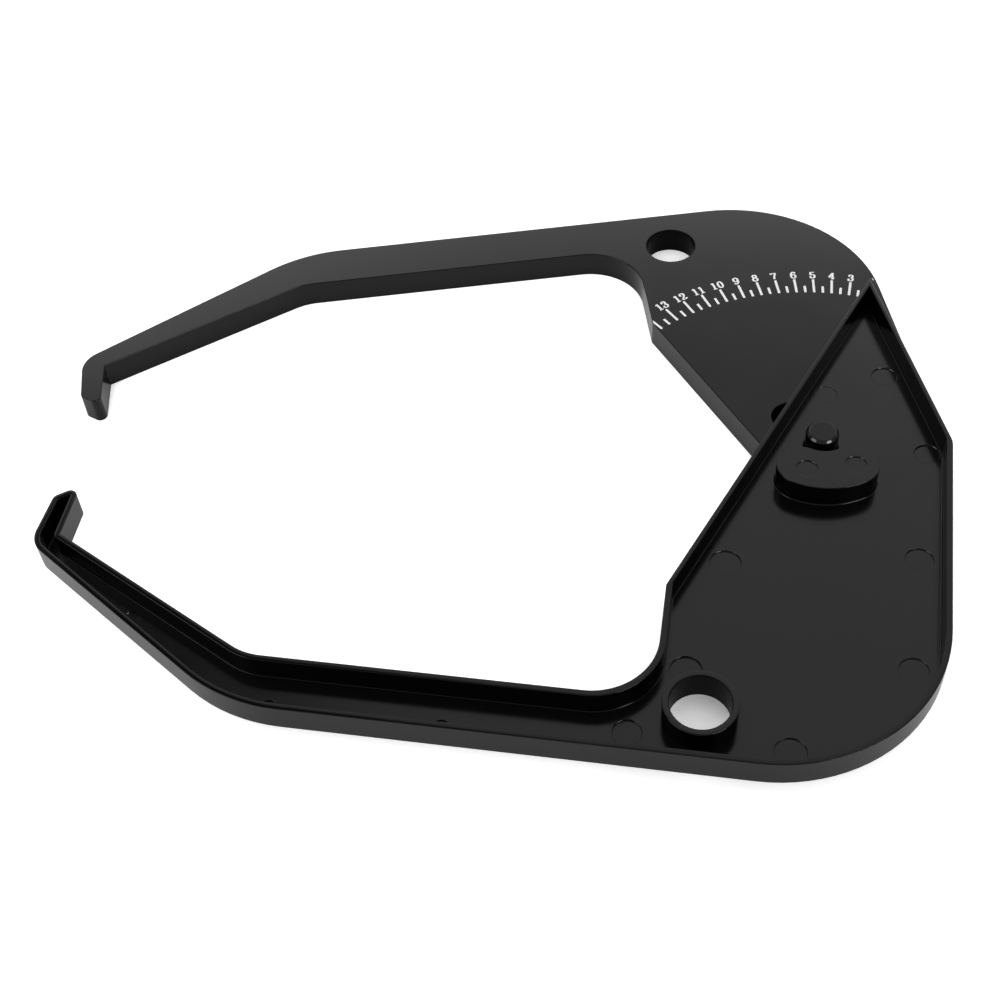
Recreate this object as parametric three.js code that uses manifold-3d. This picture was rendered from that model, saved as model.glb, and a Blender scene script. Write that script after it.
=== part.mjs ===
// Rim width caliper: two moulded plastic arms laid face to face and joined by a pivot pin.
// Millimetres, +Z up. The scale arm lies face up on the bench and the open arm lies on it, face down.
// Each arm is drawn in its own frame: the pivot axis is the origin, the jaw points to -X, the arm's
// own side is +Y, the flat face is z = 0 and the open side looks to -Z.
import * as THREE from 'three';
import { mergeVertices } from 'three/addons/utils/BufferGeometryUtils.js';
import Module from 'manifold-3d';

// Moulding
const armHeight = 12.7;
const wallThickness = 2.5;
const pointWallThickness = 1.95;
const faceThickness = 2.5;
const faceGap = 0.3;
const arcStep = THREE.MathUtils.degToRad(6);
const cutOverrun = 1;

// Wedge plate, which carries the pivot and the scale
const apexBack = 31;
const apexDrop = 95.2;
const apexRadius = 0.4;
const heelBack = 52.8;
const heelRise = 7.4;
const heelRadius = 12;
const backLean = THREE.MathUtils.degToRad(8.8);
const shoulderRadius = 68.8;
const kinkReach = 68.8;
const kinkRise = 81.5;
const kinkRadius = 0.6;
const throatReach = 75.5;
const throatRise = 134;
const throatRadius = 26;

// Upper arm, from the plate to the elbow
const upperArmSlope = THREE.MathUtils.degToRad(7.6);
const upperArmWidth = 23.2;
const elbowInnerRadius = 26;
const elbowOuterRadius = 71;

// Hook at the jaw end
const hookRootWidth = 10.8;
const hookLean = THREE.MathUtils.degToRad(6.6);
const tipWidth = 11.8;
const tipSlant = THREE.MathUtils.degToRad(29);
const tipOuterRadius = 3.5;
const tipInnerRadius = 3;
const hookOuterRadius = 12;
const hookInnerRadius = 0.8;

// Forearm and hook length of each arm: the two mouldings differ a little here
const scaleForearm = {
  elbowReach: 236,
  turn: THREE.MathUtils.degToRad(24.1),
  length: 101.9,
  rootWidth: 19.9,
  endWidth: 10.2,
  hookLength: 25.9,
};
const openForearm = {
  elbowReach: 231.1,
  turn: THREE.MathUtils.degToRad(27.9),
  length: 104.1,
  rootWidth: 20.8,
  endWidth: 11.1,
  hookLength: 26.4,
};

// Finger hole and its collar
const fingerHoleReach = 58.2;
const fingerHoleRise = 136.2;
const fingerHoleRadius = 11.7;
const collarThickness = 2.6;

// Pivot pin: a press fit in the scale arm and a running fit in the open arm
const pinRadius = 6.95;
const pinSetback = 0.8;
const pinChamfer = 0.8;
const pressClearance = 0.1;
const runningClearance = 0.3;

// Stop: a curved pocket in each arm's face takes the lug on the other arm's face
const pocketTrackRadius = 22.6;
const pocketWidth = 16.8;
const pocketWall = 2;
const lugRadius = 6;
const lugHeight = 7;
const stopPlay = THREE.MathUtils.degToRad(0.8);
const largestReading = 355.6;

// Colours
const plasticColour = 0x222224;
const pinColour = 0x161618;

const wasm = await Module();
wasm.setup();

// Booleans on closed geometries
function toSolid(geometry) {
  geometry.deleteAttribute('normal');
  geometry.deleteAttribute('uv');
  const merged = mergeVertices(geometry);
  const vertProperties = new Float32Array(merged.attributes.position.array);
  const triVerts = new Uint32Array(merged.index.array);
  return new wasm.Manifold(new wasm.Mesh({ numProp: 3, vertProperties, triVerts }));
}

function toGeometry(solid) {
  const { numProp, vertProperties, triVerts } = solid.getMesh();
  const geometry = new THREE.BufferGeometry();
  geometry.setAttribute('position', new THREE.BufferAttribute(vertProperties, numProp));
  geometry.setIndex(new THREE.BufferAttribute(triVerts, 1));
  geometry.computeVertexNormals();
  return geometry;
}

// Flat shapes drawn out from one height to another
function prism(points, low, high) {
  const depth = high - low;
  const geometry = new THREE.ExtrudeGeometry(new THREE.Shape(points), { depth, bevelEnabled: false });
  return toSolid(geometry.translate(0, 0, low));
}

function heading(angle) {
  return new THREE.Vector2(Math.cos(angle), Math.sin(angle));
}

// Points along an arc after its first one, so that arcs can be chained
function arcPoints(centre, radius, from, to) {
  const steps = Math.ceil(Math.abs(to - from) / arcStep);
  const points = [];
  for (let k = 1; k <= steps; k += 1) {
    const angle = from + ((to - from) * k) / steps;
    points.push(heading(angle).multiplyScalar(radius).add(centre));
  }
  return points;
}

function disc(centre, radius, low, high) {
  return prism(arcPoints(centre, radius, 0, 2 * Math.PI), low, high);
}

// Corner lists run counterclockwise: each corner is a point, the radius that rounds it and the
// thickness of the wall along the side that leaves it
function corner(at, radius, wall = wallThickness) {
  return { at, radius, wall };
}

function leftOf(direction) {
  return new THREE.Vector2(-direction.y, direction.x);
}

function shifted(point, direction, distance) {
  return point.clone().addScaledVector(direction, distance);
}

// Where the line through one point meets the line through another
function meet(pointA, directionA, pointB, directionB) {
  const between = pointB.clone().sub(pointA);
  return shifted(pointA, directionA, between.cross(directionB) / directionA.cross(directionB));
}

function sidesAt(corners, i) {
  const count = corners.length;
  const before = corners[(i + count - 1) % count].at;
  const after = corners[(i + 1) % count].at;
  const arriving = corners[i].at.clone().sub(before);
  const leaving = after.clone().sub(corners[i].at);
  const room = Math.min(arriving.length(), leaving.length()) / 2;
  return { arriving: arriving.normalize(), leaving: leaving.normalize(), room };
}

// The same corners with every side moved inwards by its wall's thickness
function inset(corners) {
  return corners.map((item, i) => {
    const { arriving, leaving } = sidesAt(corners, i);
    const arrivingWall = corners[(i + corners.length - 1) % corners.length].wall;
    const onArriving = shifted(item.at, leftOf(arriving), arrivingWall);
    const onLeaving = shifted(item.at, leftOf(leaving), item.wall);
    const bulges = arriving.cross(leaving) > 0;
    const radius = bulges ? Math.max(item.radius - item.wall, 0) : item.radius + item.wall;
    return corner(meet(onArriving, arriving, onLeaving, leaving), radius);
  });
}

// The outline's points, with an arc at each corner
function roundedPoints(corners) {
  return corners.flatMap((item, i) => {
    const { arriving, leaving, room } = sidesAt(corners, i);
    const turn = Math.atan2(arriving.cross(leaving), arriving.dot(leaving));
    const setback = Math.min(item.radius * Math.tan(Math.abs(turn) / 2), room);
    if (setback === 0) return [item.at];
    const radius = setback / Math.tan(Math.abs(turn) / 2);
    const start = shifted(item.at, arriving, -setback);
    const outwards = leftOf(arriving).multiplyScalar(-Math.sign(turn));
    const centre = shifted(start, outwards, -radius);
    const from = outwards.angle();
    return [start, ...arcPoints(centre, radius, from, from + turn)];
  });
}

// Outline of one arm, from the apex up the back, out along the arm and home along the inner side
function forearmPlaces(forearm) {
  const alongArm = heading(upperArmSlope);
  const throat = new THREE.Vector2(-throatReach, throatRise);
  const upperArmLength = (forearm.elbowReach - throatReach) / Math.cos(upperArmSlope);
  const elbow = shifted(throat, alongArm, -upperArmLength);
  const alongForearm = heading(upperArmSlope + forearm.turn);
  const hookCorner = shifted(elbow, alongForearm, -forearm.length);
  const alongHook = heading(hookLean - Math.PI / 2);
  const tipInner = shifted(hookCorner, alongHook, forearm.hookLength);
  const tipOuter = shifted(tipInner, heading(Math.PI - tipSlant), tipWidth);
  return { alongArm, throat, elbow, alongForearm, hookCorner, alongHook, tipInner, tipOuter };
}

function armCorners(forearm) {
  const places = forearmPlaces(forearm);
  const { alongArm, throat, elbow, alongForearm, hookCorner, alongHook, tipInner, tipOuter } = places;
  const outerRoot = shifted(elbow, leftOf(alongForearm), forearm.rootWidth);
  const outerEnd = shifted(hookCorner, leftOf(alongForearm), forearm.endWidth);
  const alongOuter = outerRoot.clone().sub(outerEnd).normalize();
  const hookBack = shifted(hookCorner, leftOf(alongHook), -hookRootWidth);
  const alongHookBack = tipOuter.clone().sub(hookBack).normalize();
  const armBack = shifted(throat, leftOf(alongArm), upperArmWidth);
  const heel = new THREE.Vector2(heelBack, heelRise);
  const upBack = heading(Math.PI / 2 + backLean);
  return [
    corner(new THREE.Vector2(apexBack, -apexDrop), apexRadius, pointWallThickness),
    corner(heel, heelRadius),
    corner(meet(heel, upBack, armBack, alongArm), shoulderRadius),
    corner(meet(armBack, alongArm, outerRoot, alongOuter), elbowOuterRadius),
    corner(meet(outerRoot, alongOuter, hookBack, alongHookBack), hookOuterRadius),
    corner(tipOuter, tipOuterRadius),
    corner(tipInner, tipInnerRadius),
    corner(hookCorner, hookInnerRadius),
    corner(elbow, elbowInnerRadius),
    corner(throat, throatRadius),
    corner(new THREE.Vector2(-kinkReach, kinkRise), kinkRadius, pointWallThickness),
  ];
}

// Opening of the jaws, as drawn and at the end of the scale
function jawTip(forearm) {
  const { tipInner, tipOuter } = forearmPlaces(forearm);
  return tipInner.clone().lerp(tipOuter, 1 / 2);
}

const scaleTip = jawTip(scaleForearm);
const openTip = jawTip(openForearm);
const drawnOpening = Math.atan2(scaleTip.y, -scaleTip.x) + Math.atan2(openTip.y, -openTip.x);
const jawRadius = (scaleTip.length() + openTip.length()) / 2;
const fullOpening = 2 * Math.asin(largestReading / 2 / jawRadius);

// Stop track round the pivot, centred on the arm's own side: at half opening the lug is in its middle
const ownSide = Math.PI / 2;
const pocketHalfWidth = pocketWidth / 2;
const endRoom = 2 * Math.asin((pocketHalfWidth - lugRadius) / 2 / pocketTrackRadius);
const trackHalfSweep = fullOpening / 2 + stopPlay - endRoom;
const lugAngle = fullOpening / 2 - drawnOpening - ownSide;

function trackPoints(halfWidth) {
  const pivot = new THREE.Vector2(0, 0);
  const near = ownSide - trackHalfSweep;
  const far = ownSide + trackHalfSweep;
  const nearEnd = heading(near).multiplyScalar(pocketTrackRadius);
  const farEnd = heading(far).multiplyScalar(pocketTrackRadius);
  return [
    ...arcPoints(pivot, pocketTrackRadius + halfWidth, near, far),
    ...arcPoints(farEnd, halfWidth, far, far + Math.PI),
    ...arcPoints(pivot, pocketTrackRadius - halfWidth, far, near),
    ...arcPoints(nearEnd, halfWidth, near + Math.PI, near + 2 * Math.PI),
  ];
}

// One arm: face plate, side wall, collar, pocket boss and stop lug in one moulding
function armGeometry(forearm, boreClearance) {
  const corners = armCorners(forearm);
  const hole = new THREE.Vector2(-fingerHoleReach, fingerHoleRise);
  const pivot = new THREE.Vector2(0, 0);
  const lugPlace = heading(lugAngle).multiplyScalar(pocketTrackRadius);
  const block = prism(roundedPoints(corners), -armHeight, 0);
  const tray = prism(roundedPoints(inset(corners)), -armHeight - cutOverrun, -faceThickness);
  const collar = disc(hole, fingerHoleRadius + collarThickness, -armHeight, 0);
  const pocketBoss = prism(trackPoints(pocketHalfWidth + pocketWall), -armHeight, 0);
  const lug = disc(lugPlace, lugRadius, -faceThickness, lugHeight);
  const fingerHole = disc(hole, fingerHoleRadius, -armHeight - cutOverrun, cutOverrun);
  const pocket = prism(trackPoints(pocketHalfWidth), faceThickness - armHeight, cutOverrun);
  const bore = disc(pivot, pinRadius + boreClearance, -faceThickness - cutOverrun, cutOverrun);
  const shell = block.subtract(tray).add(collar).add(pocketBoss).add(lug);
  return toGeometry(shell.subtract(fingerHole).subtract(pocket).subtract(bore));
}

// Pivot pin with a chamfer at each end, turned about its own middle
function pinGeometry(length) {
  const half = length / 2;
  const profile = [
    new THREE.Vector2(0, -half),
    new THREE.Vector2(pinRadius - pinChamfer, -half),
    new THREE.Vector2(pinRadius, -half + pinChamfer),
    new THREE.Vector2(pinRadius, half - pinChamfer),
    new THREE.Vector2(pinRadius - pinChamfer, half),
    new THREE.Vector2(0, half),
  ];
  const sides = Math.round((2 * Math.PI) / arcStep);
  return toGeometry(toSolid(new THREE.LatheGeometry(profile, sides).rotateX(Math.PI / 2)));
}

function named(name, geometry, material) {
  const mesh = new THREE.Mesh(geometry, material);
  mesh.name = name;
  return mesh;
}

// Assembly: the open arm is turned over onto the scale arm's face, and both are set on the pin's axis
const plastic = new THREE.MeshStandardMaterial({ color: plasticColour, roughness: 0.45, metalness: 0 });
const pinFinish = new THREE.MeshStandardMaterial({ color: pinColour, roughness: 0.2, metalness: 0 });

const scaleArm = named('scale_arm', armGeometry(scaleForearm, pressClearance), plastic);
scaleArm.position.z = armHeight;

const openArm = named('open_arm', armGeometry(openForearm, runningClearance), plastic);
openArm.rotation.x = Math.PI;
openArm.position.z = armHeight + faceGap;

const stackHeight = 2 * armHeight + faceGap;
const pivotPin = named('pivot_pin', pinGeometry(stackHeight - 2 * pinSetback), pinFinish);
pivotPin.position.z = stackHeight / 2;

const caliper = new THREE.Group();
caliper.add(scaleArm, openArm, pivotPin);

// The origin is the middle of the footprint, on the bench
const footprint = new THREE.Box3().setFromObject(caliper, true);
const middle = footprint.getCenter(new THREE.Vector3());
caliper.position.set(-middle.x, -middle.y, -footprint.min.z);

export default caliper;
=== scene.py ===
import math

import bmesh
import bpy
import numpy as np
from mathutils import Matrix, Vector
from mathutils.geometry import tessellate_polygon


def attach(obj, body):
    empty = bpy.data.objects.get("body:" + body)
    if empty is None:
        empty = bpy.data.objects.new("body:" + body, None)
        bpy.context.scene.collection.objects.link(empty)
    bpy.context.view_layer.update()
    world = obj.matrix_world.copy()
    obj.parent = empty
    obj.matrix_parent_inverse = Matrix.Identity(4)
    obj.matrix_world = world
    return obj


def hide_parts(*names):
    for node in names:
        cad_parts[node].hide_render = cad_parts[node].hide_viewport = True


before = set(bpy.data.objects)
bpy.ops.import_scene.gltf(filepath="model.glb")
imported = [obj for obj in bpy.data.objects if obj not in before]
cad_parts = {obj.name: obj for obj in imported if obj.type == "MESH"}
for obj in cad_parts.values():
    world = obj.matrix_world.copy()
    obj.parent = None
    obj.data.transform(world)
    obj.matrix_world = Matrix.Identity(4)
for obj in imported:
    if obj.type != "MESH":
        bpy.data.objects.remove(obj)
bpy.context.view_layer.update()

# Lengths are millimetres in each arm's own frame: the pivot axis is the origin, the jaw points to -X,
# the arm's own side is +Y, the flat face is z = 0 and the open side looks to -Z
MM = 0.001
PIVOT_X = 140.318
TOTAL_HEIGHT = 25.7
ARM_HEIGHT = 12.7
FACE_THICKNESS = 2.5
FACE_GAP = 0.3
FLOOR = -FACE_THICKNESS
RIM = -ARM_HEIGHT
PLACE_SCALE = Matrix.Translation((PIVOT_X, 0, ARM_HEIGHT))
PLACE_OPEN = Matrix.Translation((PIVOT_X, 0, ARM_HEIGHT + FACE_GAP)) @ Matrix.Rotation(math.pi, 4, "X")

# Outline: what both arms share, and each arm's own forearm
WALL = 2.5
POINT_WALL = 1.95
APEX = np.array([31.0, -95.2])
HEEL = np.array([52.8, 7.4])
THROAT = np.array([-75.5, 134.0])
KINK = np.array([-68.8, 81.5])
BACK_SLOPE = math.radians(8.8)
UPPER_ARM_SLOPE = math.radians(7.6)
UPPER_ARM_WIDTH = 23.2
HOOK_LEAN = math.radians(6.6)
HOOK_WIDTH = 10.8
TIP_SLOPE = math.radians(29)
TIP_LENGTH = 11.8
SCALE_FOREARM = dict(reach=236, turn=24.1, length=101.9, root=19.9, end=10.2, hook=25.9)
OPEN_FOREARM = dict(reach=231.1, turn=27.9, length=104.1, root=20.8, end=11.1, hook=26.4)

# Finger hole, stop pocket, stop lug and pin
FINGER_HOLE = (-58.2, 136.2)
FINGER_RADIUS = 11.7
COLLAR = 2.6
TRACK_RADIUS = 22.6
TRACK_SWEEP = math.radians(28.099)
POCKET_HALF = 8.4
POCKET_WALL = 2
LUG_RADIUS = 6
LUG_HEIGHT = 7
LUG_FOOT = FLOOR + 0.5
LUG_ANGLE = math.radians(-68.254)
PIN_RADIUS = 6.95
PIN_SETBACK = 0.8
SCALE_BORE_GAP = 0.1
OPEN_BORE_GAP = 0.3

# Moulder's details. HOLD is a narrow strip that keeps a wall's shading straight up to its rounds
OUTER_DRAFT = 0.1
INNER_DRAFT = 0.2
FACE_ROUND = 0.4
RIM_ROUND = 0.3
HOLE_ROUND = 0.3
KIDNEY_ROUND = 0.35
LUG_ROUND = 0.5
FLOOR_FILLET = 0.35
KIDNEY_FILLET = 0.5
HOLD = 0.06
LIP = 0.05

# Ejector marks as x, y, radius and depth
FLOOR_MARKS = [
    (31.9, -41.2, 5.6, 0.5),
    (5.4, -30.6, 5.0, 0.2),
    (43.9, 5.4, 5.4, 0.6),
    (-44.1, 62.9, 6.3, 0.6),
    (32.8, 62.2, 5.7, 0.5),
    (-62.2, 114.7, 6.2, 0.7),
    (23.3, 115.6, 5.8, 0.5),
    (-26.0, 151.4, 6.2, 0.5),
    (-85.2, 142.7, 5.6, 0.6),
    (-14.2, 4.7, 2.5, 0.5),
    (-154.5, 140.0, 3.0, 0.6),
    (-221.0, 130.9, 3.0, 0.6),
    (-281.7, 88.5, 3.0, 0.5),
]
KIDNEY_MARKS = [(-8.7, 21.8, 4.6, 0.5), (11.4, 19.9, 4.6, 0.5)]

# How finely arcs are drawn
ARC_STEP = math.radians(4)
FEWEST_STEPS = 4
SMALLEST_RADIUS = 0.25
LARGEST_SETBACK = 0.499
KIDNEY_ARC_STEPS = 24
KIDNEY_END_STEPS = 20
HOLE_POINTS = 72
SMALL_POINTS = 48
PIN_POINTS = 96

# Which of an arm's materials a face has, and which of the pin's
OUTSIDE, BORE, INSIDE = 0, 1, 2
POLISHED, SATIN = 0, 1


def heading(angle):
    return np.array([math.cos(angle), math.sin(angle)])


def left_of(direction):
    return np.array([-direction[1], direction[0]])


def cross(a, b):
    return a[0] * b[1] - a[1] * b[0]


def meet(p, d, q, e):
    return p + d * (cross(q - p, e) / cross(d, e))


def unit(v):
    return v / np.linalg.norm(v)


# Corners of an arm, each with a radius and the thickness of the wall that leaves it
def arm_corners(forearm):
    along = heading(UPPER_ARM_SLOPE)
    elbow = THROAT - along * (forearm["reach"] + THROAT[0]) / math.cos(UPPER_ARM_SLOPE)
    fore = heading(UPPER_ARM_SLOPE + math.radians(forearm["turn"]))
    hook = elbow - fore * forearm["length"]
    down = heading(HOOK_LEAN - math.pi / 2)
    tip_in = hook + down * forearm["hook"]
    tip_out = tip_in + heading(math.pi - TIP_SLOPE) * TIP_LENGTH
    outer_root = elbow + left_of(fore) * forearm["root"]
    outer_end = hook + left_of(fore) * forearm["end"]
    outer = unit(outer_root - outer_end)
    hook_back = hook - left_of(down) * HOOK_WIDTH
    hook_side = unit(tip_out - hook_back)
    arm_back = THROAT + left_of(along) * UPPER_ARM_WIDTH
    heel_side = heading(math.pi / 2 + BACK_SLOPE)
    return [
        (APEX, 0.4, POINT_WALL),
        (HEEL, 12.0, WALL),
        (meet(HEEL, heel_side, arm_back, along), 68.8, WALL),
        (meet(arm_back, along, outer_root, outer), 71.0, WALL),
        (meet(outer_root, outer, hook_back, hook_side), 12.0, WALL),
        (tip_out, 3.5, WALL),
        (tip_in, 3.0, WALL),
        (hook, 0.8, WALL),
        (elbow, 26.0, WALL),
        (THROAT, 26.0, WALL),
        (KINK, 0.6, POINT_WALL),
    ]


# The outline moved inwards by a share of each wall plus a fixed amount, with the same points each time
def outline(corners, share, more):
    count = len(corners)
    depth = [wall * share + more for _, _, wall in corners]
    sides = [unit(corners[(i + 1) % count][0] - corners[i][0]) for i in range(count)]
    places = []
    for i in range(count):
        before, after = sides[i - 1], sides[i]
        p = corners[i][0] + left_of(before) * depth[i - 1]
        q = corners[i][0] + left_of(after) * depth[i]
        places.append(meet(p, before, q, after))
    points = []
    for i in range(count):
        before, after = sides[i - 1], sides[i]
        turn = math.atan2(cross(before, after), float(before @ after))
        inward = (depth[i - 1] + depth[i]) / 2
        radius = corners[i][1] - inward if turn > 0 else corners[i][1] + inward
        radius = max(radius, SMALLEST_RADIUS)
        side_before = np.linalg.norm(places[i] - places[i - 1])
        side_after = np.linalg.norm(places[(i + 1) % count] - places[i])
        setback = min(radius * math.tan(abs(turn) / 2), min(side_before, side_after) * LARGEST_SETBACK)
        radius = setback / math.tan(abs(turn) / 2)
        outwards = -left_of(before) * (1 if turn > 0 else -1)
        centre = places[i] - before * setback - outwards * radius
        start = math.atan2(outwards[1], outwards[0])
        steps = max(FEWEST_STEPS, int(round(abs(turn) / ARC_STEP)))
        for k in range(steps + 1):
            points.append(centre + heading(start + turn * k / steps) * radius)
    return np.array(points)


def circle(centre, radius, count):
    angles = np.arange(count) * 2 * math.pi / count
    return np.stack([centre[0] + radius * np.cos(angles), centre[1] + radius * np.sin(angles)], 1)


# Kidney round the stop track: two arcs about the pivot joined by round ends
def kidney(half):
    near, far = math.pi / 2 - TRACK_SWEEP, math.pi / 2 + TRACK_SWEEP
    points = []
    for start, end, side in ((near, far, 1), (far, near, -1)):
        for k in range(KIDNEY_ARC_STEPS):
            points.append(heading(start + (end - start) * k / KIDNEY_ARC_STEPS) * (TRACK_RADIUS + side * half))
        for k in range(KIDNEY_END_STEPS):
            round_end = heading(end + math.pi * k / KIDNEY_END_STEPS) * side * half
            points.append(heading(end) * TRACK_RADIUS + round_end)
    return np.array(points)


# A quarter round as (sideways, height) pairs, from its flat end to its steep end
def edge_round(radius, steps=4):
    return [(radius * (1 - math.sin(a)), radius * (1 - math.cos(a))) for a in np.linspace(0, math.pi / 2, steps + 1)]


# The same round at the foot of a wall
def fillet_round(radius):
    return [(side, height) for height, side in reversed(edge_round(radius))]


# Sections for Skin.rings: a shape that a round makes wider (sideways 1) or narrower (-1) as it rises or falls
def rounded(shape, size, z, pairs, sideways, upwards):
    return [(shape(size + sideways * side), z + upwards * height) for side, height in pairs]


def add_object(name, data):
    thing = bpy.data.objects.new(name, data)
    bpy.context.scene.collection.objects.link(thing)
    return thing


# A mesh that grows by bands between rings and by flat caps. Each face keeps its material's number
class Skin:
    def __init__(self):
        self.points, self.faces, self.smooth, self.materials = [], [], [], []

    def face(self, material, corners, smooth):
        self.faces.append(corners)
        self.smooth.append(smooth)
        self.materials.append(material)

    def ring(self, xy, z):
        start = len(self.points)
        self.points += [(float(x), float(y), float(z)) for x, y in xy]
        return list(range(start, start + len(xy)))

    # Bands through all the sections, from a ring that is there already if one is given
    def rings(self, material, sections, start=None):
        made = [self.ring(xy, z) for xy, z in sections]
        if start:
            made.insert(0, start)
        for a, b in zip(made, made[1:]):
            for i in range(len(a)):
                j = (i + 1) % len(a)
                self.face(material, (a[i], a[j], b[j], b[i]), True)
        return made[0], made[-1]

    def cap(self, material, outer, holes=()):
        loops = [outer, *holes]
        indices = [i for loop in loops for i in loop]
        places = [[Vector((self.points[i][0], self.points[i][1], 0)) for i in loop] for loop in loops]
        for triangle in tessellate_polygon(places):
            self.face(material, tuple(indices[k] for k in triangle), False)

    def build(self, name, place):
        mesh = bpy.data.meshes.new(name)
        mesh.from_pydata([tuple(place @ Vector(p) * MM) for p in self.points], [], self.faces)
        mesh.polygons.foreach_set("use_smooth", self.smooth)
        mesh.polygons.foreach_set("material_index", self.materials)
        work = bmesh.new()
        work.from_mesh(mesh)
        bmesh.ops.recalc_face_normals(work, faces=work.faces)
        work.to_mesh(mesh)
        work.free()
        mesh.update()
        return add_object(name, mesh)


# Face edge, outer wall and rim, then the inner wall and its fillet. Gives the face's edge and the floor's
def shell(skin, corners):
    def outer(inset):
        return outline(corners, 0, inset)

    def inner(inset):
        return outline(corners, 1, inset)

    sections = rounded(outer, OUTER_DRAFT, 0, edge_round(FACE_ROUND), 1, -1)
    sections.append((outer(OUTER_DRAFT), -FACE_ROUND - HOLD))
    sections.append((outer(0), RIM + RIM_ROUND + HOLD))
    sections += rounded(outer, 0, RIM, reversed(edge_round(RIM_ROUND)), 1, 1)
    sections += rounded(inner, 0, RIM, edge_round(RIM_ROUND), -1, 1)
    face_edge, rim_edge = skin.rings(OUTSIDE, sections)
    sections = [(inner(0), RIM + RIM_ROUND + HOLD), (inner(INNER_DRAFT), FLOOR - FLOOR_FILLET - HOLD)]
    sections += rounded(inner, INNER_DRAFT, FLOOR, reversed(fillet_round(FLOOR_FILLET)), 1, -1)
    _, floor_edge = skin.rings(INSIDE, sections, rim_edge)
    return face_edge, floor_edge


# Collar and bore of the finger hole. Gives the collar's foot on the floor and the hole's edge in the face
def finger_hole(skin):
    def at_hole(radius):
        return circle(FINGER_HOLE, radius, HOLE_POINTS)

    outer = FINGER_RADIUS + COLLAR
    sections = [
        (at_hole(outer + OUTER_DRAFT), FLOOR),
        (at_hole(outer + OUTER_DRAFT), FLOOR - HOLD),
        (at_hole(outer), RIM + HOLE_ROUND + HOLD),
    ]
    sections += rounded(at_hole, outer, RIM, reversed(edge_round(HOLE_ROUND)), -1, 1)
    sections.append((at_hole(FINGER_RADIUS + HOLE_ROUND), RIM))
    collar_foot, bore_start = skin.rings(INSIDE, sections)
    # From the inner round of the collar's rim downwards the bore's low-gloss material is used, painted shade that
    # darkens the round and the bore
    sections = rounded(at_hole, FINGER_RADIUS, RIM, edge_round(HOLE_ROUND)[1:], 1, 1)
    sections.append((at_hole(FINGER_RADIUS), RIM + HOLE_ROUND + HOLD))
    sections.append((at_hole(FINGER_RADIUS), -HOLE_ROUND - HOLD))
    sections += rounded(at_hole, FINGER_RADIUS, 0, reversed(edge_round(HOLE_ROUND)), 1, -1)
    _, hole_edge = skin.rings(BORE, sections, bore_start)
    return collar_foot, hole_edge


# Closed kidney over the stop pocket. Gives its foot and the edge of its top
def kidney_boss(skin):
    half = POCKET_HALF + POCKET_WALL
    sections = rounded(kidney, half + OUTER_DRAFT, FLOOR, fillet_round(KIDNEY_FILLET), 1, -1)
    sections.append((kidney(half + OUTER_DRAFT), FLOOR - KIDNEY_FILLET - HOLD))
    sections.append((kidney(half), RIM + KIDNEY_ROUND + HOLD))
    sections += rounded(kidney, half, RIM, reversed(edge_round(KIDNEY_ROUND)), -1, 1)
    return skin.rings(INSIDE, sections)


# Stop pocket in the face. Gives its edge
def stop_pocket(skin):
    sections = rounded(kidney, POCKET_HALF, 0, edge_round(HOLE_ROUND), 1, -1)
    sections.append((kidney(POCKET_HALF - OUTER_DRAFT), RIM + FACE_THICKNESS))
    edge, bottom = skin.rings(INSIDE, sections)
    skin.cap(INSIDE, bottom)
    return edge


# Pin bore with a small chamfer at each end. Gives its edge in the face and on the floor
def pin_bore(skin, radius):
    def at_pivot(r):
        return circle((0, 0), r, SMALL_POINTS)

    sections = [
        (at_pivot(radius + HOLE_ROUND), 0),
        (at_pivot(radius), -HOLE_ROUND),
        (at_pivot(radius), FLOOR + HOLE_ROUND),
        (at_pivot(radius + HOLE_ROUND), FLOOR),
    ]
    return skin.rings(INSIDE, sections)


# Sunk ejector mark, with a lip where the ejector stood a little proud, in steps outwards from its radius and
# upwards from z. Gives its outer edge
def ejector_mark(skin, x, y, radius, depth, z, lip):
    steps = ((0.35, 0), (0.12, -lip), (-0.06, -lip + 0.03), (-0.12, depth - 0.05), (-0.2, depth))
    edge, bottom = skin.rings(INSIDE, [(circle((x, y), radius + out, SMALL_POINTS), z + dz) for out, dz in steps])
    skin.cap(INSIDE, bottom)
    return edge


def stop_lug(skin):
    centre = heading(LUG_ANGLE) * TRACK_RADIUS

    def at_lug(radius):
        return circle(centre, radius, SMALL_POINTS)

    sections = [(at_lug(LUG_RADIUS), LUG_FOOT)]
    sections += rounded(at_lug, LUG_RADIUS, LUG_HEIGHT, reversed(edge_round(LUG_ROUND)), -1, -1)
    for end in skin.rings(OUTSIDE, sections):
        skin.cap(OUTSIDE, end)


def arm(name, forearm, place, bore_gap):
    skin = Skin()
    face_edge, floor_edge = shell(skin, arm_corners(forearm))
    collar_foot, hole_edge = finger_hole(skin)
    kidney_foot, kidney_top = kidney_boss(skin)
    pocket_edge = stop_pocket(skin)
    bore_face, bore_floor = pin_bore(skin, PIN_RADIUS + bore_gap)
    floor_marks = [ejector_mark(skin, *mark, FLOOR, LIP) for mark in FLOOR_MARKS]
    kidney_marks = [ejector_mark(skin, *mark, RIM, 0) for mark in KIDNEY_MARKS]
    skin.cap(INSIDE, floor_edge, [collar_foot, kidney_foot, bore_floor] + floor_marks)
    skin.cap(INSIDE, kidney_top, kidney_marks)
    skin.cap(OUTSIDE, face_edge, [hole_edge, pocket_edge, bore_face])
    stop_lug(skin)
    return skin.build(name, place)


# Pivot pin, turned: each flat end falls by a small round to a steep polished lead. The lead is given as
# steps inwards from the pin's radius and downwards from its end
PIN_LEAD = ((0, 2.2), (0, 2.1), (0.08, 1.7), (0.11, 1.63), (0.54, 0.65))
PIN_ROUND = 0.8
PIN_ROUND_STEPS = 9


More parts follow.
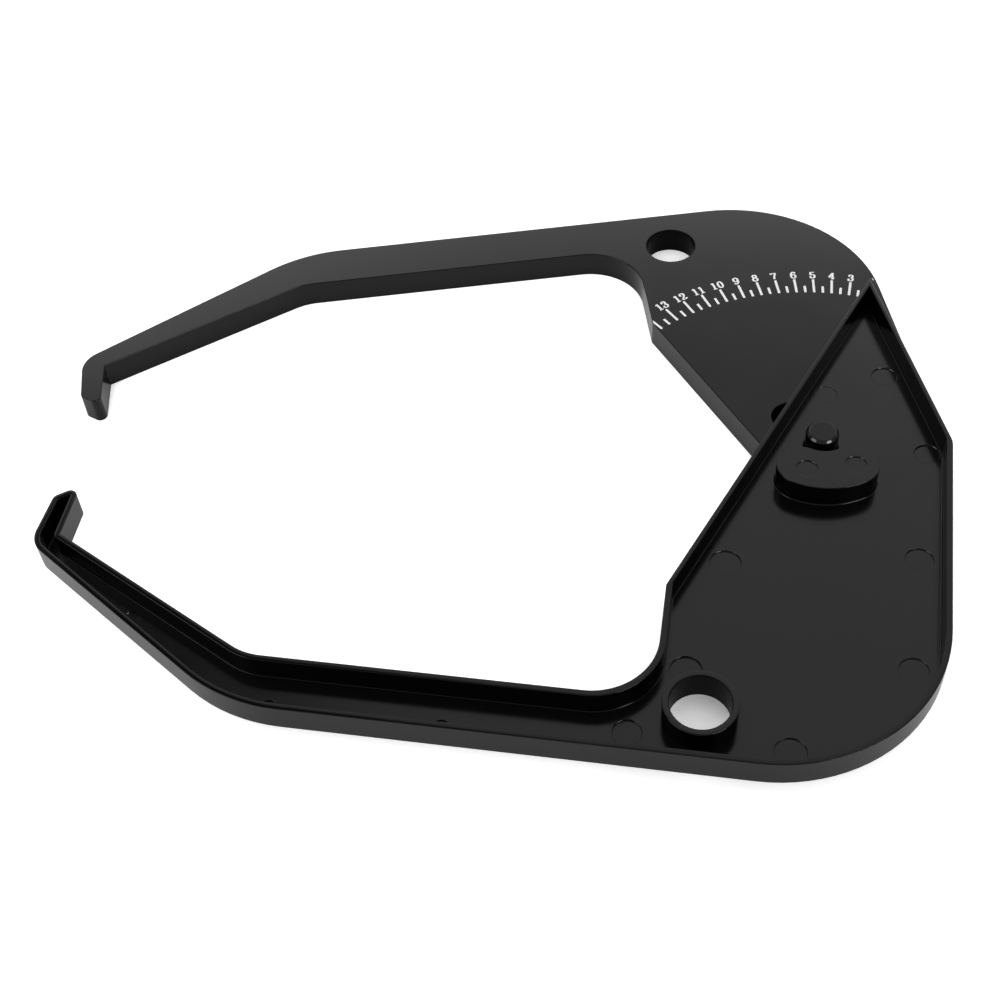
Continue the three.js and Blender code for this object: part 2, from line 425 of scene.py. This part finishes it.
def pin(name):
    skin = Skin()
    low, high = PIN_SETBACK, TOTAL_HEIGHT - PIN_SETBACK
    lead = [(PIN_RADIUS - side, down) for side, down in PIN_LEAD]
    for side, height in reversed(edge_round(PIN_ROUND, PIN_ROUND_STEPS)[:-2]):
        lead.append((PIN_RADIUS - PIN_ROUND - side, height))

    def at_pin(radius):
        return circle((0, 0), radius, PIN_POINTS)

    bottom, waist = skin.rings(POLISHED, [(at_pin(r), low + down) for r, down in reversed(lead)])
    _, waist = skin.rings(SATIN, [(at_pin(PIN_RADIUS), high - lead[0][1])], waist)
    _, top = skin.rings(POLISHED, [(at_pin(r), high - down) for r, down in lead[1:]], waist)
    skin.cap(SATIN, bottom)
    skin.cap(SATIN, top)
    return skin.build(name, Matrix.Translation((PIVOT_X, 0, 0)))


# Printed scale in inches, whose ticks follow the opening of a hinge. They start TICK_INNER from the pivot,
# and the numbers' middles stand NUMBER_RISE further out
INCH = 25.4
JAW_RADIUS = 324
SCALE_START = math.radians(63.2)
TICK_INNER = 100.72
TICK_HALF = 0.57
TICK_LONG = 9.1
TICK_SHORT = 4.43
TICK_CORNERS = ((-1, 0.18), (-0.7, 0), (0.7, 0), (1, 0.18))
LEAN = math.radians(2.4)
LEAN_END = 9.2
LEAN_SPAN = 2.2
FIRST_HALF_INCH, LAST_HALF_INCH = 5, 28
FIRST_NUMBER, LAST_NUMBER = 3, 13
NUMBER_RISE = 12.2
NUMBER_HEIGHT = 4.8

# What is left of a number that the edge of the face cuts off: its middle and its half sides
FLECK = np.array([35.5, 108.8])
FLECK_ALONG = heading(math.radians(118)) * 0.7
FLECK_UP = heading(math.radians(72)) * 0.3

# The edge of the face that cuts off the last tick
CUT_POINT = np.array([-68.3, 81.5])
CUT_WAY = unit(THROAT - KINK)

# Height of the print over the face, and of each stroke over the one before
PRINT_LIFT = 0.02
LAYER = 0.004

# Nib and spacing, as shares of a number's height
NIB_FLAT = 0.05
NIB_UPRIGHT = 0.06
DOT_RADIUS = 0.115
DOT_POINTS = 12
ADVANCE = 0.66
SLIM = 0.92


def arc(cx, cy, rx, ry, start, end, count=18):
    angles = np.radians(np.linspace(start, end, count))
    return [(cx + rx * math.cos(a), cy + ry * math.sin(a)) for a in angles]


# Each digit's strokes and dots
DIGITS = {
    "0": ([arc(0.34, 0.5, 0.24, 0.43, 0, 360, 36)], []),
    "1": ([[(0.34, 0.06), (0.34, 0.94)], [(0.12, 0.05), (0.56, 0.05)], [(0.34, 0.92), (0.14, 0.80)]], []),
    "2": (
        [
            arc(0.34, 0.70, 0.22, 0.24, 170, -30) + [(0.42, 0.44), (0.12, 0.09)],
            [(0.10, 0.08), (0.58, 0.08)],
            [(0.58, 0.06), (0.60, 0.24)],
        ],
        [(0.16, 0.70)],
    ),
    "3": (
        [arc(0.32, 0.73, 0.20, 0.20, 165, -90), arc(0.31, 0.29, 0.25, 0.24, 90, -165)],
        [(0.16, 0.75), (0.12, 0.26)],
    ),
    "4": (
        [
            [(0.44, 0.05), (0.44, 0.95)],
            [(0.44, 0.94), (0.06, 0.31)],
            [(0.05, 0.29), (0.64, 0.29)],
            [(0.28, 0.05), (0.60, 0.05)],
        ],
        [],
    ),
    "5": (
        [[(0.14, 0.90), (0.55, 0.90)], [(0.15, 0.92), (0.13, 0.50)], arc(0.32, 0.31, 0.25, 0.26, 140, -160)],
        [(0.13, 0.24)],
    ),
    "6": ([arc(0.35, 0.30, 0.23, 0.25, 0, 360, 30), arc(0.42, 0.46, 0.30, 0.46, 75, 195)], [(0.52, 0.82)]),
    "7": (
        [[(0.10, 0.89), (0.60, 0.89)], [(0.59, 0.90), (0.40, 0.48), (0.32, 0.05)], [(0.10, 0.92), (0.09, 0.72)]],
        [],
    ),
    "8": ([arc(0.34, 0.73, 0.19, 0.20, 0, 360, 30), arc(0.34, 0.28, 0.24, 0.23, 0, 360, 30)], []),
    "9": ([arc(0.33, 0.70, 0.23, 0.25, 0, 360, 30), arc(0.26, 0.54, 0.30, 0.46, -105, 15)], [(0.16, 0.18)]),
}


# The foot of a tick and the way it points: the low readings lean a little
def tick_line(inches):
    angle = SCALE_START + 2 * math.asin(inches * INCH / 2 / JAW_RADIUS)
    lean = LEAN * min(max((LEAN_END - inches) / LEAN_SPAN, 0), 1)
    return heading(angle) * TICK_INNER, heading(angle + lean)


# Half the nib's width to the left of each point of a stroke: widest where the stroke runs up or down
def nib_steps(points):
    closed = np.linalg.norm(points[0] - points[-1]) < 0.01
    padded = [points[-2 if closed else 0], *points, points[1 if closed else -1]]
    ways = [unit(after - before) for before, after in zip(padded, padded[2:])]
    return [left_of(way) * (NIB_FLAT + NIB_UPRIGHT * abs(way[1])) for way in ways]


class Print:
    def __init__(self):
        self.points, self.faces = [], []

    def polygon(self, corners, layer=0):
        start = len(self.points)
        self.points += [(float(x), float(y), PRINT_LIFT + layer * LAYER) for x, y in corners]
        self.faces.append(tuple(range(start, start + len(corners))))

    # Strokes lie a hair above one another, so that none shades the next
    def number(self, inches):
        text = str(inches)
        foot, up = tick_line(inches)
        right = -left_of(up)
        width = ADVANCE * len(text)

        def out(u, v):
            across = right * (u * SLIM - width / 2) * NUMBER_HEIGHT
            return foot + up * (NUMBER_RISE + (v - 0.5) * NUMBER_HEIGHT) + across

        for place, letter in enumerate(text):
            strokes, dots = DIGITS[letter]
            start = np.array((ADVANCE / SLIM * place, 0))
            for layer, stroke in enumerate(strokes):
                points = np.array(stroke, float) + start
                steps = nib_steps(points)
                for p, q, left_p, left_q in zip(points, points[1:], steps, steps[1:]):
                    self.polygon([out(*c) for c in (p - left_p, q - left_q, q + left_q, p + left_p)], layer)
            for dot in dots:
                rim = circle(start + dot, DOT_RADIUS, DOT_POINTS)
                self.polygon([out(*c) for c in rim], len(strokes))

    # A tick with softened corners. The last runs off the edge of the face, and is cut there
    def tick(self, inches, length, cut):
        foot, up = tick_line(inches)
        side = left_of(up) * TICK_HALF
        if cut:
            far = []
            for edge in (foot + side, foot - side):
                end = meet(edge, up, CUT_POINT, CUT_WAY)
                rise = float((end - foot) @ up)
                far.append(end + up * (min(rise, length) - rise))
            self.polygon([foot - side, foot + side] + far)
            return
        corners = []
        for end, way in ((foot, -1), (foot + up * length, 1)):
            corners += [end - side * s * way - up * back * way for s, back in TICK_CORNERS]
        self.polygon(corners)

    def fleck(self):
        low, high = FLECK - FLECK_UP, FLECK + FLECK_UP
        self.polygon([low - FLECK_ALONG, low + FLECK_ALONG, high + FLECK_ALONG, high - FLECK_ALONG])

    def build(self, name, place):
        mesh = bpy.data.meshes.new(name)
        mesh.from_pydata([tuple(place @ Vector(p) * MM) for p in self.points], [], self.faces)
        mesh.update()
        return add_object(name, mesh)


def printed_scale(name):
    sheet = Print()
    for halves in range(FIRST_HALF_INCH, LAST_HALF_INCH + 1):
        sheet.tick(halves / 2, TICK_SHORT if halves % 2 else TICK_LONG, halves == LAST_HALF_INCH)
    for inches in range(FIRST_NUMBER, LAST_NUMBER + 1):
        sheet.number(inches)
    sheet.fleck()
    return sheet.build(name, PLACE_SCALE)


scale_skin = arm("scale_arm_moulding", SCALE_FOREARM, PLACE_SCALE, SCALE_BORE_GAP)
open_skin = arm("open_arm_moulding", OPEN_FOREARM, PLACE_OPEN, OPEN_BORE_GAP)
pin_skin = pin("pivot_pin_turned")
print_skin = printed_scale("scale_print")


# Node helpers. A value is a number or another node's output
def feed(tree, socket, value):
    if isinstance(value, bpy.types.NodeSocket):
        tree.links.new(value, socket)
    else:
        socket.default_value = value


def math_node(tree, kind, *values):
    node = tree.nodes.new("ShaderNodeMath")
    node.operation = kind
    for socket, value in zip(node.inputs, values):
        feed(tree, socket, value)
    return node.outputs["Value"]


def ramp(tree, value, low, high, to_low, to_high):
    node = tree.nodes.new("ShaderNodeMapRange")
    for socket, given in (
        ("Value", value),
        ("From Min", low),
        ("From Max", high),
        ("To Min", to_low),
        ("To Max", to_high),
    ):
        feed(tree, node.inputs[socket], given)
    return node.outputs["Result"]


def noise(tree, coords, scale, detail):
    node = tree.nodes.new("ShaderNodeTexNoise")
    node.inputs["Scale"].default_value = scale
    node.inputs["Detail"].default_value = detail
    node.inputs["Roughness"].default_value = 0.6
    feed(tree, node.inputs["Vector"], coords)
    return node.outputs["Fac"]


def mix(tree, factor, a, b):
    node = tree.nodes.new("ShaderNodeMix")
    node.data_type = "RGBA"
    node.inputs["A"].default_value = (*a, 1)
    node.inputs["B"].default_value = (*b, 1)
    feed(tree, node.inputs["Factor"], factor)
    return node.outputs["Result"]


def bump(tree, height, strength, distance):
    node = tree.nodes.new("ShaderNodeBump")
    node.inputs["Distance"].default_value = distance
    feed(tree, node.inputs["Strength"], strength)
    feed(tree, node.inputs["Height"], height)
    return node


def object_coords(tree):
    return tree.nodes.new("ShaderNodeTexCoord").outputs["Object"]


def new_material(name):
    material = bpy.data.materials.new(name)
    material.use_nodes = True
    tree = material.node_tree
    return material, tree, tree.nodes["Principled BSDF"].inputs


BLACK, LESS_BLACK = (0.0018, 0.0018, 0.0019), (0.0026, 0.0026, 0.0027)
PIN_BLACK = (0.002, 0.002, 0.0021, 1)
GRAIN_SCALE = 2600
STREAK_SCALE = 700
STREAK_STRETCH = (1, 1, 0.03)

# How level a surface has to be to count as a face, and below which it is a wall
WALL_LEVEL, FACE_LEVEL = 0.2, 0.9


# Black plastic with a fine grain and a little unevenness, whose gloss and roughness differ between walls and
# level faces. Draw marks are faint streaks up the walls
def arm_plastic(name, gloss_faces, gloss_walls, rough_walls, rough_faces):
    material, tree, shader = new_material(name)
    coords = object_coords(tree)
    broad = noise(tree, coords, 30, 3)
    fine = noise(tree, coords, GRAIN_SCALE, 2)
    feed(tree, shader["Base Color"], mix(tree, broad, BLACK, LESS_BLACK))

    split = tree.nodes.new("ShaderNodeSeparateXYZ")
    feed(tree, split.inputs["Vector"], tree.nodes.new("ShaderNodeNewGeometry").outputs["Normal"])
    level = math_node(tree, "ABSOLUTE", split.outputs["Z"])
    rough = ramp(tree, level, WALL_LEVEL, FACE_LEVEL, rough_walls, rough_faces)
    uneven = ramp(tree, broad, 0.3, 0.7, -0.03, 0.03)
    feed(tree, shader["Roughness"], math_node(tree, "ADD", rough, uneven))
    feed(tree, shader["Specular IOR Level"], ramp(tree, level, WALL_LEVEL, FACE_LEVEL, gloss_walls, gloss_faces))

    stretch = tree.nodes.new("ShaderNodeMapping")
    stretch.inputs["Scale"].default_value = STREAK_STRETCH
    feed(tree, stretch.inputs["Vector"], coords)
    streaks = noise(tree, stretch.outputs["Vector"], STREAK_SCALE, 3)
    grain = bump(tree, fine, 0.12, 0.00005)
    draw = bump(tree, streaks, ramp(tree, level, 0.1, 0.6, 0.7, 0), 0.00006)
    feed(tree, draw.inputs["Normal"], grain.outputs["Normal"])
    feed(tree, shader["Normal"], draw.outputs["Normal"])
    return material


def pin_plastic(name, gloss, rough_low, rough_high):
    material, tree, shader = new_material(name)
    fine = noise(tree, object_coords(tree), 1500, 3)
    shader["Base Color"].default_value = PIN_BLACK
    feed(tree, shader["Roughness"], ramp(tree, fine, 0.3, 0.7, rough_low, rough_high))
    shader["Specular IOR Level"].default_value = gloss
    return material


def ink(name):
    material, tree, shader = new_material(name)
    fine = noise(tree, object_coords(tree), 900, 3)
    feed(tree, shader["Base Color"], mix(tree, fine, (0.84, 0.84, 0.84), (0.95, 0.95, 0.95)))
    shader["Roughness"].default_value = 0.5
    return material


# Materials in the order of OUTSIDE, BORE, INSIDE and of POLISHED, SATIN
plastic = arm_plastic("satin_black_plastic", 0.26, 0.28, 0.12, 0.12)
# The bores' material is the same black plastic, rougher and with far less gloss. Part of this is a duller finish;
# the low gloss is also painted shade that darkens the bores, which reflect the shaded floor beneath.
bore_finish_and_shade = arm_plastic("dull_black_bore_and_painted_shade", 0.06, 0.06, 0.3, 0.3)
tray_finish = arm_plastic("satin_black_tray", 0.32, 0.16, 0.1, 0.17)
pin_finish = pin_plastic("polished_black_pin", 0.4, 0.06, 0.12)
pin_end = pin_plastic("satin_black_pin", 0.24, 0.16, 0.22)
for thing, materials in (
    (scale_skin, (plastic, bore_finish_and_shade, tray_finish)),
    (open_skin, (plastic, bore_finish_and_shade, tray_finish)),
    (pin_skin, (pin_finish, pin_end)),
    (print_skin, (ink("white_ink"),)),
):
    for material in materials:
        thing.data.materials.append(material)
for node, material in (("scale_arm", plastic), ("open_arm", plastic), ("pivot_pin", pin_finish)):
    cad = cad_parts[node]
    cad.data.materials.clear()
    cad.data.materials.append(material)

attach(scale_skin, "scale_arm")
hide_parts("scale_arm")
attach(open_skin, "open_arm")
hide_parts("open_arm")
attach(pin_skin, "scale_arm")
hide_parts("pivot_pin")
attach(print_skin, "scale_arm")

# Bench and room, in metres. A ray that the camera sees by is told from one that a surface mirrors
BENCH_HALF = 4.0
BENCH_SEEN = 0.85
BENCH_MIRRORED = 0.15
SKY_REACH = 0.05
SKY_SAMPLES = 4
SKY_WAY = (0, -0.8, 0.6)
ROOM_LIGHT = 0.35


def seen_directly(tree, path):
    return math_node(tree, "MAXIMUM", path["Is Camera Ray"], path["Is Transmission Ray"])


# Pale floor. What the camera and mirrored rays see of it glows up to white, and an occlusion mask cuts that glow
# where little sky reaches it: painted shade under and beside the arms and in the finger holes, on top of the lamps'
# own shadows
def bench():
    mesh = bpy.data.meshes.new("bench")
    half = BENCH_HALF
    mesh.from_pydata([(-half, -half, 0), (half, -half, 0), (half, half, 0), (-half, half, 0)], [], [(0, 1, 2, 3)])
    thing = add_object("bench", mesh)
    material, tree, shader = new_material("bench_white")
    grain = noise(tree, object_coords(tree), 40, 2)
    feed(tree, shader["Base Color"], mix(tree, grain, (0.80, 0.80, 0.80), (0.81, 0.81, 0.81)))
    shader["Roughness"].default_value = 1.0
    shader["Specular IOR Level"].default_value = 0.0

    path = tree.nodes.new("ShaderNodeLightPath").outputs
    seen = ramp(tree, seen_directly(tree, path), 0, 1, 0, BENCH_SEEN)
    mirrored = ramp(tree, path["Is Glossy Ray"], 0, 1, 0, BENCH_MIRRORED)
    sky = tree.nodes.new("ShaderNodeAmbientOcclusion")
    sky.samples = SKY_SAMPLES
    sky.inputs["Distance"].default_value = SKY_REACH
    front = tree.nodes.new("ShaderNodeCombineXYZ")
    for axis, value in zip("XYZ", SKY_WAY):
        front.inputs[axis].default_value = value
    feed(tree, sky.inputs["Normal"], front.outputs["Vector"])
    # Painted shade: the glow fades out where the occlusion test finds little open sky towards the front
    open_sky = ramp(tree, sky.outputs["AO"], 0.45, 0.6, 0, 1)
    lift = math_node(tree, "MAXIMUM", seen, mirrored)
    shader["Emission Color"].default_value = (1, 1, 1, 1)
    feed(tree, shader["Emission Strength"], math_node(tree, "MULTIPLY", lift, open_sky))
    mesh.materials.append(material)


# Studio round the bench, white to the camera. Mirrored rays see a bright wall behind, which ends on the left
# and on the right and is dim overhead, and low down on it a white sheet with a soft upper edge that rises to
# the left. Near the horizon both are dim again, and the front is dim all over
LEFT_END = (0.910, 0.415, -0.5)
RIGHT_END = (-0.848, 0.530, 0)
SHEET_UP = (0.0378, 0.2389, 0.9703)
SHEET_SOFTNESS = 3.5
SHEET_LIGHT = 1.6


def studio():
    world = bpy.data.worlds.new("studio")
    bpy.context.scene.world = world
    world.use_nodes = True
    tree = world.node_tree
    background = tree.nodes["Background"].inputs
    background["Color"].default_value = (1, 1, 1, 1)
    way = tree.nodes.new("ShaderNodeTexCoord").outputs["Generated"]

    def towards(direction, low, high, to_low, to_high):
        facing = tree.nodes.new("ShaderNodeVectorMath")
        facing.operation = "DOT_PRODUCT"
        facing.inputs[1].default_value = direction
        feed(tree, facing.inputs[0], way)
        return ramp(tree, facing.outputs["Value"], low, high, to_low, to_high)

    def times(a, b):
        return math_node(tree, "MULTIPLY", a, b)

    def plus(a, b):
        return math_node(tree, "ADD", a, b)

    left = towards(LEFT_END, -0.404, -0.304, 0.03, 1)
    right = towards(RIGHT_END, -0.15, 0, 0.05, 1)
    overhead = towards((0, 0, 1), 0.88, 0.97, 1, 0.2)
    wall = times(times(left, right), overhead)
    fade = math_node(tree, "POWER", towards(SHEET_UP, 0.8706, 0.7806, 0, 1), SHEET_SOFTNESS)
    behind = towards((0, 1, 0), 0, 0.3, 0, 1)
    sheet = times(times(fade, behind), SHEET_LIGHT)
    horizon = towards(SHEET_UP, 0.66, 0.74, 0.3, 1)
    front = towards((0, -1, 0), -0.3, 0.3, 0, 0.45)
    room = plus(times(plus(wall, sheet), horizon), front)

    path = tree.nodes.new("ShaderNodeLightPath").outputs
    mirrored = ramp(tree, path["Is Glossy Ray"], 0, 1, ROOM_LIGHT, room)
    feed(tree, background["Strength"], ramp(tree, seen_directly(tree, path), 0, 1, mirrored, 1))


# Softbox that faces the object: place and size in metres, radiance, whether it shows in reflections and
# whether it lights surfaces
def softbox(name, place, size, radiance, mirrored=True, lights=True):
    data = bpy.data.lights.new(name, "AREA")
    data.shape = "RECTANGLE"
    data.size, data.size_y = size
    data.energy = radiance * math.pi * size[0] * size[1]
    thing = add_object(name, data)
    thing.location = place
    thing.rotation_euler = (-Vector(place)).to_track_quat("-Z", "Y").to_euler()
    thing.visible_glossy = mirrored
    thing.visible_diffuse = lights
    thing.visible_camera = False


# Camera as fitted to the photo's outlines
CAMERA_PLACE = ((-95.62 + PIVOT_X) * MM, -0.45773, 0.51255)
CAMERA_RIGHT = (0.99808, 0.03164, -0.05316)
CAMERA_UP = (0.01076, 0.75742, 0.65284)
CAMERA_BACK = (0.06092, -0.65216, 0.75563)
LENS, SENSOR = 56.44, 36


def photo_camera():
    data = bpy.data.cameras.new("camera")
    data.lens = LENS
    data.sensor_width = SENSOR
    data.clip_start = 0.01
    data.clip_end = 100
    camera = add_object("camera", data)
    turn = Matrix((CAMERA_RIGHT, CAMERA_UP, CAMERA_BACK)).transposed().to_4x4()
    camera.matrix_world = Matrix.Translation(CAMERA_PLACE) @ turn
    bpy.context.scene.camera = camera


bench()
studio()
softbox("back", (-0.3, 2.0, 0.98), (3.6, 1.0), 1.3, mirrored=False)
softbox("top", (-0.2, 0.1, 2.0), (2.4, 2.4), 1.5, mirrored=False)
softbox("right_front", (1.35, -1.25, 1.15), (1.0, 0.6), 12.0, lights=False)
softbox("left_front", (-1.6, -0.75, 1.15), (1.2, 1.0), 4.0, lights=False)
photo_camera()
bpy.context.scene.view_settings.view_transform = "Standard"
